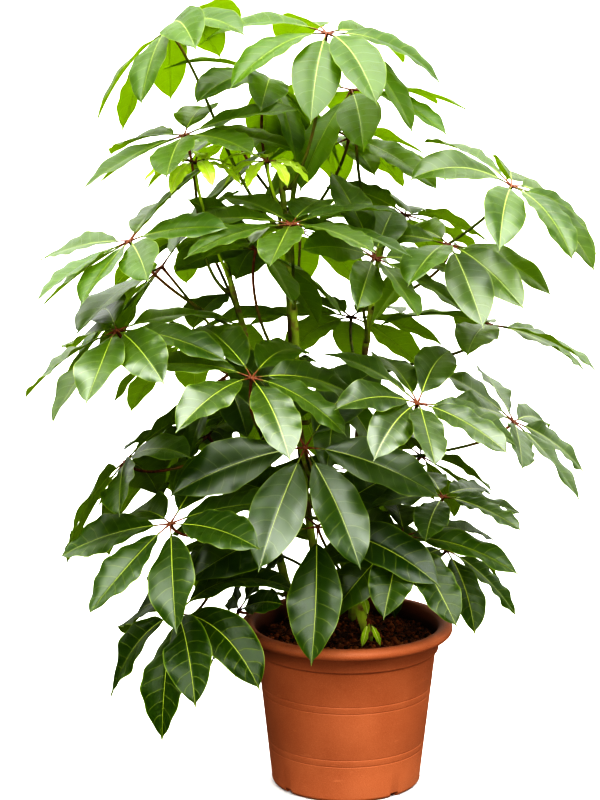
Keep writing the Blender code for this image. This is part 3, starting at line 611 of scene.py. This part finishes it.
def make_pot():
    """The turned pot, with its notches and drain holes cut out."""
    profile = pot_profile()
    shape = Shape()
    shape.add(turned_points(profile, POT_SIDES), ring_faces(len(profile), POT_SIDES), 0, NO_MARK, NO_MARK)
    pot = shape.make("plastic_pot", [pot_finish()], 42)
    cutters = []
    for angle in NOTCH_ANGLES:
        bpy.ops.mesh.primitive_cube_add(size=1.0)
        notch = bpy.context.object
        notch.scale = NOTCH_SIZE
        notch.rotation_euler.z = radians(angle)
        notch.location = round_axis(FOOT_RADIUS, radians(angle))
        cutters.append(notch)
    for k in range(DRAIN_HOLES):
        angle = 2 * pi * k / DRAIN_HOLES
        bpy.ops.mesh.primitive_cylinder_add(vertices=32, radius=DRAIN_HOLE_RADIUS, depth=4 * POT_FLOOR)
        hole = bpy.context.object
        hole.location = round_axis(DRAIN_HOLE_CIRCLE, angle)
        cutters.append(hole)
    for cutter in cutters:
        boolean = pot.modifiers.new("cut", "BOOLEAN")
        boolean.object = cutter
        boolean.operation = "DIFFERENCE"
        boolean.solver = "EXACT"
    bpy.context.view_layer.update()
    whole = bpy.data.meshes.new_from_object(pot.evaluated_get(bpy.context.evaluated_depsgraph_get()))
    pot.modifiers.clear()
    pot.data = whole
    for cutter in cutters:
        bpy.data.objects.remove(cutter, do_unlink=True)
    stand_for(pot, "pot")


def ground(x, y):
    """Height of the soil's top at a place."""
    lumps = noise.noise(Vector((x * 38, y * 38, 3.1))) * 0.0030
    clods = noise.noise(Vector((x * 110, y * 110, 7.7))) * 0.0016
    fine = noise.noise(Vector((x * 420, y * 420, 1.3))) * 0.0007
    rim = max(0.0, (x * x + y * y) ** 0.5 / SOIL_RADIUS - 0.86) / 0.14
    return SOIL_TOP + (lumps + clods) + fine - 0.0018 * rim ** 2


def crumb_shape():
    """A lump's unit points and faces."""
    lump = bmesh.new()
    bmesh.ops.create_icosphere(lump, subdivisions=2, radius=1.0)
    points = np.array([v.co[:] for v in lump.verts])
    faces = [[v.index for v in face.verts] for face in lump.faces]
    lump.free()
    return points, faces


def add_bed(shape, draw):
    """The body of the soil: its lumpy top, down the wall to the pot's floor."""
    points = [(0.0, 0.0, ground(0.0, 0.0))]
    for ring in range(1, SOIL_RINGS + 1):
        reach = SOIL_RADIUS * (ring / SOIL_RINGS) ** 0.9
        for x, y, _ in turned_points([(reach, 0.0)], SOIL_SIDES):
            points.append((x, y, ground(x, y)))
    points += turned_points([(wall_radius(BODY_TOP) - POT_WALL - SOIL_GAP, BODY_TOP),
                             (wall_radius(POT_FLOOR) - POT_WALL - SOIL_GAP, POT_FLOOR + 0.0006)], SOIL_SIDES)
    faces = [[0, 1 + k, 1 + (k + 1) % SOIL_SIDES] for k in range(SOIL_SIDES)]
    faces += [[1 + corner for corner in face]
              for face in ring_faces(SOIL_RINGS + 2, SOIL_SIDES, closed_start=False)]
    tones = np.array([(draw.random() * 0.5, 0.0, 0.0) for _ in points])
    shape.add(points, faces, 0, tones, NO_MARK)


def add_crumb(shape, draw, unit, faces):
    """A knobbly lump of peat, half sunk in the soil or lying on it."""
    reach = (SOIL_RADIUS - 0.004) * draw.random() ** 0.5
    angle = draw.uniform(0, 2 * pi)
    x, y, _ = round_axis(reach, angle)
    size = CRUMB_SIZE + CRUMB_GROWTH * draw.random() ** 2.2
    scale = np.array([size * draw.uniform(0.7, 1.35) for _ in range(3)])
    start = Vector((reach * 900, angle * 9, 0))
    knobs = 1 + 0.28 * np.array([noise.noise(Vector(p) * 1.7 + start) for p in unit])
    turn = np.array(Euler([draw.uniform(0, 6) for _ in range(3)]).to_matrix())
    place = (x, y, ground(x, y) + size * draw.uniform(-0.1, 0.5))
    lump = (unit * knobs[:, None] * scale) @ turn.T + place
    shape.add(lump, faces, 0, (draw.random(), 0.0, 0.0), NO_MARK)


def add_fibre(shape, draw):
    """A short bowed root or thread on top of the soil."""
    reach = (SOIL_RADIUS - 0.012) * draw.random() ** 0.5
    angle = draw.uniform(0, 2 * pi)
    heading = draw.uniform(0, 2 * pi)
    length = draw.uniform(0.004, 0.016)
    bow = draw.uniform(-0.3, 0.3)
    path = []
    for k in range(FIBRE_POINTS):
        share = k / (FIBRE_POINTS - 1)
        x = reach * cos(angle) + length * (share - 0.5) * cos(heading + bow * share)
        y = reach * sin(angle) + length * (share - 0.5) * sin(heading + bow * share)
        path.append(Vector((x, y, ground(x, y) + 0.0006 + 0.0016 * sin(pi * share) * draw.random())))
    thick = draw.uniform(0.00018, 0.0005)
    radii = [thick * (0.5 + 0.5 * sin(pi * (k + 0.5) / FIBRE_POINTS)) for k in range(FIBRE_POINTS)]
    shape.add(tube_points(path, radii, 4, Vector((0, 0, 1))), ring_faces(FIBRE_POINTS, 4), 0,
              (draw.random(), draw.uniform(0.3, 1.0), 0.0), NO_MARK)


def make_soil():
    draw = random.Random("peat")
    shape = Shape()
    add_bed(shape, draw)
    crumb = crumb_shape()
    for _ in range(CRUMBS):
        add_crumb(shape, draw, *crumb)
    for _ in range(FIBRES):
        add_fibre(shape, draw)
    soil = shape.make("peat_soil", [soil_finish()], 60)
    stand_for(soil, "soil")


# ---------------------------------------------------------------- stems

def smooth_path(points, count):
    """Points at even steps along a Catmull-Rom curve through the points given."""
    knots = [Vector(point) for point in points]
    knots = [2 * knots[0] - knots[1]] + knots + [2 * knots[-1] - knots[-2]]
    path = []
    for k in range(count):
        place = k / (count - 1) * (len(points) - 1)
        span = min(int(place), len(points) - 2)
        t = place - span
        a, b, c, d = knots[span:span + 4]
        path.append(0.5 * ((2 * b) + (c - a) * t + (2 * a - 5 * b + 4 * c - d) * t ** 2
                           + (3 * b - a - 3 * c + d) * t ** 3))
    return path


def stem_at(path, foot, tip, height):
    """Centre, direction and radius of a stem at a height."""
    for k, (low, high) in enumerate(zip(path, path[1:])):
        if high.z >= height:
            share = (height - low.z) / (high.z - low.z)
            radius = foot + (tip - foot) * (k + share) / (len(path) - 1)
            return low.lerp(high, share), (high - low).normalized(), radius
    return path[-1], (path[-1] - path[-2]).normalized(), tip


def make_stem(name, finish):
    """A stem with a swelling and a scar under each leaf, and older scars between them."""
    draw = random.Random(name + " scars")
    points, foot, tip = STEMS[name]
    count = (STEM_RINGS - 1) * STEM_FINE + 1
    path = smooth_path(points, count)
    scars = [(row[1] - 0.004, 1.0) for row in LEAVES.values() if row[0] == name]
    height = SOIL_TOP + 0.012
    while height < path[-1].z:
        scars.append((height, draw.uniform(0.45, 0.9)))
        height += draw.uniform(0.014, 0.034)
    radii, marks = [], []
    for k, point in enumerate(path):
        share = k / (count - 1)
        swell = sum(size * np.exp(-((point.z - place) / SWELLING_TALL) ** 2) for place, size in scars)
        scar = sum(size * np.exp(-((point.z - place) / SCAR_TALL) ** 2) for place, size in scars)
        scar = min(1.0, scar)
        lumps = 1 + 0.05 * noise.noise(point * 55)
        radii.append((foot + (tip - foot) * share) * lumps + STEM_SWELLING * min(swell, 1.2))
        marks += [(share, scar, draw.random())] * STEM_SIDES
    last = path[-1] + (path[-1] - path[-2]).normalized() * 2 * tip
    for share, size in ((0.35, 0.86), (0.7, 0.5), (1.0, 0.12)):
        path.append(path[count - 1].lerp(last, share))
        radii.append(tip * size)
        marks += [(1.0, 0.0, 0.5)] * STEM_SIDES
    shape = Shape()
    shape.add(tube_points(path, radii, STEM_SIDES, Vector((1, 0, 0))), ring_faces(len(path), STEM_SIDES), 0,
              np.array(marks), NO_MARK)
    stem = shape.make(name + "_bark", [finish], 60)
    stand_for(stem, name)


# ---------------------------------------------------------------- compound leaves

def hub_frame(faces):
    """The hub's axis, its downhill side and the side a quarter turn on."""
    compass, up = radians(faces[0]), radians(faces[1])
    axis = Vector((cos(up) * cos(compass), cos(up) * sin(compass), sin(up)))
    downhill = Vector((sin(up) * cos(compass), sin(up) * sin(compass), -cos(up)))
    return axis, downhill, axis.cross(downhill)


def stalk_path(row, stem_path, aside, count):
    """From the stem's side to the hub, bent aside by a distance to stay clear."""
    stem, height, hub, faces = row[:4]
    centre, along, radius = stem_at(stem_path, *STEMS[stem][1:], height)
    hub = Vector(hub)
    axis = hub_frame(faces)[0]
    away = hub - centre
    outward = (away - along * away.dot(along)).normalized()
    base = centre + outward * (radius + SEAT_GAP)
    neck = base + outward * STALK_COLLAR
    end = hub - axis * HUB_HALF
    reach = (end - neck).length
    shift = away.cross(Vector((0, 0, 1))).normalized() * aside
    near = neck + (outward + along).normalized() * STALK_CURVE * reach + shift
    far = end - axis * STALK_CURVE * reach + shift
    return [base] + interpolate_bezier(neck, near, far, end, count), outward


def leaflet_line(hub, hub_axes, turn, lift, reach, droop):
    """Midrib of a leaflet: straight out of the hub, then sagging under its own weight."""
    axis, downhill, across = hub_axes
    turn, lift = radians(turn), radians(lift)
    outward = downhill * cos(turn) + across * sin(turn)
    side = across * cos(turn) - downhill * sin(turn)
    heading = outward * cos(lift) + axis * sin(lift)
    step = reach / LINE_STEPS
    line = [(hub + heading * HUB_RADIUS, heading)]
    for _ in range(LINE_STEPS):
        heading = (heading - Vector((0, 0, droop * step))).normalized()
        line.append((line[-1][0] + heading * step, heading))
    return line, side


def bend_cost(bend):
    """How far a bend takes a leaflet from where it would like to grow."""
    turn, lift, share = bend
    return abs(turn) / TURN_STEP + abs(lift) / LIFT_STEP + (1 - share) * SHORT_COST


BENDS = sorted(product(TURN_BENDS, LIFT_BENDS, REACH_BENDS), key=bend_cost)


def outline(share):
    """Half-width of a blade over its widest, from its base to its drip tip."""
    body = np.sin(pi * np.clip(share / 0.955, 0, 1) ** 1.05).clip(0) ** 0.7
    drip = 0.125 * ((1 - share) / 0.12).clip(0) ** 0.8 * np.clip((share - 0.75) / 0.1, 0, 1)
    return (body ** 4 + drip ** 4) ** 0.25


def between(knots, values, share):
    """Values eased from knot to knot, with no kink at a knot."""
    knots, values = np.asarray(knots), np.asarray(values)
    k = np.clip(np.searchsorted(knots, share, side="right") - 1, 0, len(knots) - 2)
    t = (share - knots[k]) / (knots[k + 1] - knots[k])
    t = t * t * (3 - 2 * t)
    return values[k] * (1 - t) + values[k + 1] * t


# A blade's ring of corners: across the top from left to right, then back under it
TOP = np.array(BLADE_COLUMNS)
UNDER = TOP[-2:0:-1]
RING_ACROSS = np.concatenate([TOP, UNDER])
RING_UNDER = np.concatenate([np.zeros(len(TOP)), np.ones(len(UNDER))])
RING_UNDER[[0, len(TOP) - 1]] = 0.5
BLADE_SHARES = 1 - (1 - np.linspace(0.0, 1.0, BLADE_RINGS)) ** 1.12
BLADE_FACES = ring_faces(BLADE_RINGS, len(RING_ACROSS))
STALKLET_FACES = ring_faces(STALKLET_RINGS, STALKLET_SIDES)


def along_line(line, share):
    """Points and directions at shares of a leaflet's line."""
    spots = np.array([point for point, _ in line])
    headings = np.array([heading for _, heading in line])
    place = np.clip(share, 0, 1) * LINE_STEPS
    k = np.minimum(place.astype(int), LINE_STEPS - 1)
    rest = (place - k)[:, None]
    point = spots[k] * (1 - rest) + spots[k + 1] * rest
    heading = headings[k] * (1 - rest) + headings[k + 1] * rest
    return point, heading / np.linalg.norm(heading, axis=1, keepdims=True)


class Leaflet:
    """One leaflet of a leaf, with the sizes that its solid has."""

    def __init__(self, name, row, index):
        draw = random.Random(f"{name} leaflet {index}")
        _, _, hub, faces, turns, reach, droop, lift = row
        self.hub = Vector(hub)
        self.axes = hub_frame(faces)
        self.turn = turns[index] + draw.uniform(-STRAY_TURN, STRAY_TURN)
        self.reach = reach * draw.uniform(1 - STRAY_REACH, 1 + STRAY_REACH)
        self.droop = droop * draw.uniform(1 - STRAY_DROOP, 1 + STRAY_DROOP)
        self.lift = lift + draw.uniform(-STRAY_LIFT, STRAY_LIFT)
        self.roll = radians(draw.uniform(-STRAY_ROLL, STRAY_ROLL))
        young = name in YOUNG_LEAVES
        self.width = YOUNG_BLADE_WIDTH if young else BLADE_WIDTH
        self.wave = YOUNG_WAVE * reach if young else WAVE[name.split("_")[1]]
        signs = [(-1) ** (k + k // 2) for k in range(2 * len(BLADE_STATIONS))]
        swings = [self.wave * draw.uniform(0.4, 1.0) * sign for sign in signs]
        swings = [WAVE_SHARE * swing for swing in swings]
        self.right, self.left = swings[::2], swings[1::2]
        self.look = random.Random(f"{name} look {index}")

    def settle(self, corners):
        """The line that the solid took, found by its tip, or None where it has no such leaflet."""
        for turn, lift, share in BENDS:
            line, side = leaflet_line(self.hub, self.axes, self.turn + turn, self.lift + lift,
                                      self.reach * share, self.droop)
            if corners.find(line[-1][0])[2] < SAME_PLACE:
                return line, side
        return None

    def grow_stalklet(self, shape, line, side, tone):
        """Adds the leaflet's own stalk, swollen at the hub and where the blade begins."""
        share = np.linspace(-0.01, STALKLET_SHARE + 0.035, STALKLET_RINGS)
        point, _ = along_line(line, share)
        way = share / STALKLET_SHARE
        radii = STALKLET_RADIUS * (1 + 0.55 * np.exp(-(way / 0.16) ** 2)
                                   + 0.30 * np.exp(-((way - 0.93) / 0.10) ** 2)
                                   - 0.55 * np.clip(way - 1, 0, 1) / 0.2)
        path = [Vector(p) for p in point]
        path[0] = self.hub + (path[1] - self.hub) * 0.35
        redness = np.clip(1.15 - way * 0.95 + self.look.uniform(-0.25, 0.15), 0, 1)
        marks = np.stack([redness, 0.5 * np.exp(-(way / 0.1) ** 2), np.full_like(way, tone)], 1)
        shape.add(tube_points(path, radii, STALKLET_SIDES, side), STALKLET_FACES, 1,
                  np.repeat(marks, STALKLET_SIDES, axis=0), NO_MARK)

    def grow_blade(self, shape, line, side, age, tone):
        """Adds the blade: folded along its midrib, wavy at its edges and thicker at the rib."""
        draw = self.look
        share = BLADE_SHARES
        length = (1 - STALKLET_SHARE) * self.reach
        point, heading = along_line(line, STALKLET_SHARE + (1 - STALKLET_SHARE) * share)
        flat = np.array(side) - heading * (heading @ np.array(side))[:, None]
        flat /= np.linalg.norm(flat, axis=1, keepdims=True)
        up = np.cross(heading, flat)
        roll = (self.roll + radians(draw.uniform(-10, 10)) * (share - 0.5))[:, None]
        flat, up = flat * np.cos(roll) + up * np.sin(roll), up * np.cos(roll) - flat * np.sin(roll)
        point = point + flat * (draw.uniform(-0.022, 0.022) * length * np.sin(pi * share))[:, None]

        across = RING_ACROSS[None, :]
        out = np.abs(across)
        half = np.maximum(self.width * length * outline(share), 0.0003)[:, None]
        knots = (0.0, *BLADE_STATIONS, 1.0)
        right = between(knots, (0.0, *self.right, 0.0), share)[:, None]
        left = between(knots, (0.0, *self.left, 0.0), share)[:, None]
        ripples = draw.randint(3, 5)
        phase = 2 * pi * (ripples * share[:, None] + draw.random())
        rippling = np.sin(phase + np.where(across > 0, 0.0, 1.9))
        lift = (BLADE_FOLD * half * out ** 1.25 + np.where(across > 0, right, left) * out ** 1.6
                + 0.085 * half * np.sin(pi * out) * draw.uniform(0.5, 1.2)
                + (0.0008 + 0.22 * self.wave) * rippling * out ** 3 * np.sin(pi * share[:, None]) ** 0.5)
        crest = np.exp(-(across * half / RIB_WIDE) ** 2)
        skin = BLADE_HALF_THICK * np.sqrt(np.clip(1 - across ** 2, 0, 1))
        rib = (1 - 0.72 * share)[:, None]
        skin = np.where(RING_UNDER > 0.6, -skin - RIB_TALL * rib * crest, skin + 0.00012 * rib * crest)
        skin = np.where(out == 1.0, 0.0, skin)
        points = (point[:, None, :] + flat[:, None, :] * (across * half)[:, :, None]
                  + up[:, None, :] * (lift + skin)[:, :, None])
        blade = np.stack([np.broadcast_to(share[:, None], half.shape[:1] + across.shape[1:]),
                          np.broadcast_to(across, (len(share), across.shape[1])),
                          across * half * 100], axis=2)
        growth = np.zeros_like(blade)
        growth[..., 0] = np.clip(tone + draw.uniform(-0.22, 0.22), 0, 1)
        growth[..., 1] = RING_UNDER
        growth[..., 2] = age
        shape.add(points.reshape(-1, 3), BLADE_FACES, 0, blade.reshape(-1, 3), growth.reshape(-1, 3))


def make_leaf(name, row, stem_path, finishes):
    """Stalk, hub and leaflets of a compound leaf, in the pose of its solid."""
    draw = random.Random(name + " look")
    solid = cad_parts[name].data.vertices
    corners = KDTree(len(solid))
    for k, corner in enumerate(solid):
        corners.insert(corner.co, k)
    corners.balance()

    def miss(bend):
        return corners.find(stalk_path(row, stem_path, bend, STALK_BENDS)[0][2])[2]

    aside = min(STALK_BENDS_ASIDE, key=miss)
    path, outward = stalk_path(row, stem_path, aside, STALK_RINGS)
    axis, downhill, _ = hub_frame(row[3])
    young = name in YOUNG_LEAVES
    # The lowest leaves are the oldest
    age = min(1.0, max(0.0, 1.05 - (row[2][2] - 0.20) / 0.80))
    tone = draw.random()

    flare, past, top = STALK_RADII
    shape = Shape()
    path[0] -= outward * 0.002
    path += [path[-1] + axis * HUB_HALF * step for step in HUB_STEPS]
    blush = 0.0 if young else draw.uniform(0.45, 1.0)
    radii, marks = [flare], [(0.3, 0.9, tone)]
    for way in np.linspace(0, 1, STALK_RINGS):
        radii.append(float(past + (top - past) * way + (flare - past) * np.exp(-(way / 0.035) ** 2)
                           + 0.0008 * np.exp(-((way - 1) / 0.03) ** 2)))
        marks.append((blush * (0.35 + 0.75 * way ** 2), 0.6 * np.exp(-(way / 0.02) ** 2), tone))
    radii += HUB_RADII
    marks += [(1.0, 0.35, tone)] * len(HUB_RADII)
    shape.add(tube_points(path, radii, STALK_SIDES, downhill), ring_faces(len(path), STALK_SIDES), 1,
              np.repeat(np.array(marks, float), STALK_SIDES, axis=0), (float(young), 0, 0))
    for index in range(len(row[4])):
        leaflet = Leaflet(name, row, index)
        settled = leaflet.settle(corners)
        if settled:
            leaflet.grow_stalklet(shape, *settled, tone)
            leaflet.grow_blade(shape, *settled, age, tone)
    leaf = shape.make(name.replace("leaf_", "whorl_"), finishes, 48)
    stand_for(leaf, name)


# ---------------------------------------------------------------- studio

def make_floor():
    """A wide pale floor."""
    mesh = bpy.data.meshes.new("floor")
    corners = ((-1, -1), (1, -1), (1, 1), (-1, 1))
    mesh.from_pydata([(FLOOR_REACH * x, FLOOR_REACH * y, 0.0) for x, y in corners], [], [(0, 1, 2, 3)])
    mesh.materials.append(floor_finish())
    floor = bpy.data.objects.new("floor", mesh)
    bpy.context.scene.collection.objects.link(floor)
    floor.visible_glossy = False
    floor.visible_diffuse = False


def hang(lamp, place, heading, glossy):
    """Hangs a lamp that shines along a heading, and may show in glossy surfaces."""
    item = bpy.data.objects.new(lamp.name, lamp)
    item.location = place
    item.rotation_euler = Vector(heading).to_track_quat("-Z", "Y").to_euler()
    item.visible_glossy = glossy
    bpy.context.scene.collection.objects.link(item)


def add_panel(name, place, size, power, spread):
    """A soft lamp that faces the pot."""
    lamp = bpy.data.lights.new(name, "AREA")
    lamp.shape = "RECTANGLE"
    lamp.size, lamp.size_y = size
    lamp.energy = power
    lamp.spread = radians(spread)
    hang(lamp, place, Vector(POT_MIDDLE) - Vector(place), False)


def add_sun(name, heading, strength, width, glossy):
    """A broad sun, its width in degrees."""
    lamp = bpy.data.lights.new(name, "SUN")
    lamp.energy = strength
    lamp.angle = radians(width)
    hang(lamp, (0.0, 0.0, 0.0), heading, glossy)


def set_sky():
    """A dome that is brighter overhead and behind, and plain white where the camera sees it."""
    world = bpy.data.worlds.new("studio")
    bpy.context.scene.world = world
    dome = Finish(world, "Background")
    way = dome.add("TexCoord", {}, {}, 0)
    height = dome.add("SeparateXYZ", {}, {0: way}, 2)
    depth = dome.add("SeparateXYZ", {}, {0: way}, 1)
    behind = depth.rise(0.15, 0.75) * height.rise(-0.05, 0.20)
    seen = dome.add("LightPath", {}, {}, 0)
    dome.set(Color=(1.0, 1.0, 1.0, 1.0), Strength=0.03 + 0.42 * height.rise(0.1, 0.9) + behind + seen)


def set_camera():
    view = bpy.data.cameras.new("camera")
    view.sensor_fit = "VERTICAL"
    view.sensor_height = 36.0
    view.lens = CAMERA_LENS
    view.clip_end = CAMERA_REACH
    camera = bpy.data.objects.new("camera", view)
    camera.location = CAMERA_PLACE
    camera.rotation_euler = (radians(CAMERA_TILT), 0.0, 0.0)
    bpy.context.scene.collection.objects.link(camera)
    bpy.context.scene.camera = camera


def set_studio():
    """Two lamps light the pot, a sun overhead gives the sheen and one behind shines through the leaves."""
    make_floor()
    set_sky()
    add_panel("key", (2.7, -0.6, 0.7), (1.2, 1.0), 5.5, 60)
    add_panel("fill", (-1.2, -2.9, 0.3), (1.6, 0.6), 4.6, 50)
    add_sun("overhead", (0.05, 0.32, -1.0), 6.3, 84, True)
    add_sun("back", (0.15, -1.0, -0.9), 3.0, 50, False)
    bpy.context.scene.view_settings.view_transform = "Standard"
    bpy.context.scene.view_settings.look = "Very High Contrast"
    set_camera()


def main():
    make_pot()
    make_soil()
    bark = bark_finish()
    for name in STEMS:
        make_stem(name, bark)
    stalk = stalk_finish()
    green = leaf_finish("leaf_green", deep=tint(22, 48, 0), bright=tint(54, 92, 0), old=tint(10, 30, 0),
                        vein=tint(210, 224, 84), under=tint(58, 86, 4),
                        glow=(0.74, 0.92, 0.01, 1.0), glow_share=0.38)
    young = leaf_finish("leaf_young", deep=tint(172, 204, 44), bright=tint(204, 226, 90),
                        old=tint(172, 204, 44), vein=tint(236, 242, 160), under=tint(192, 214, 64),
                        glow=(0.92, 0.98, 0.12, 1.0), glow_share=0.40)
    for name, row in LEAVES.items():
        stem_path = smooth_path(STEMS[row[0]][0], STEM_RINGS)
        make_leaf(name, row, stem_path, [young if name in YOUNG_LEAVES else green, stalk])
    set_studio()


main()
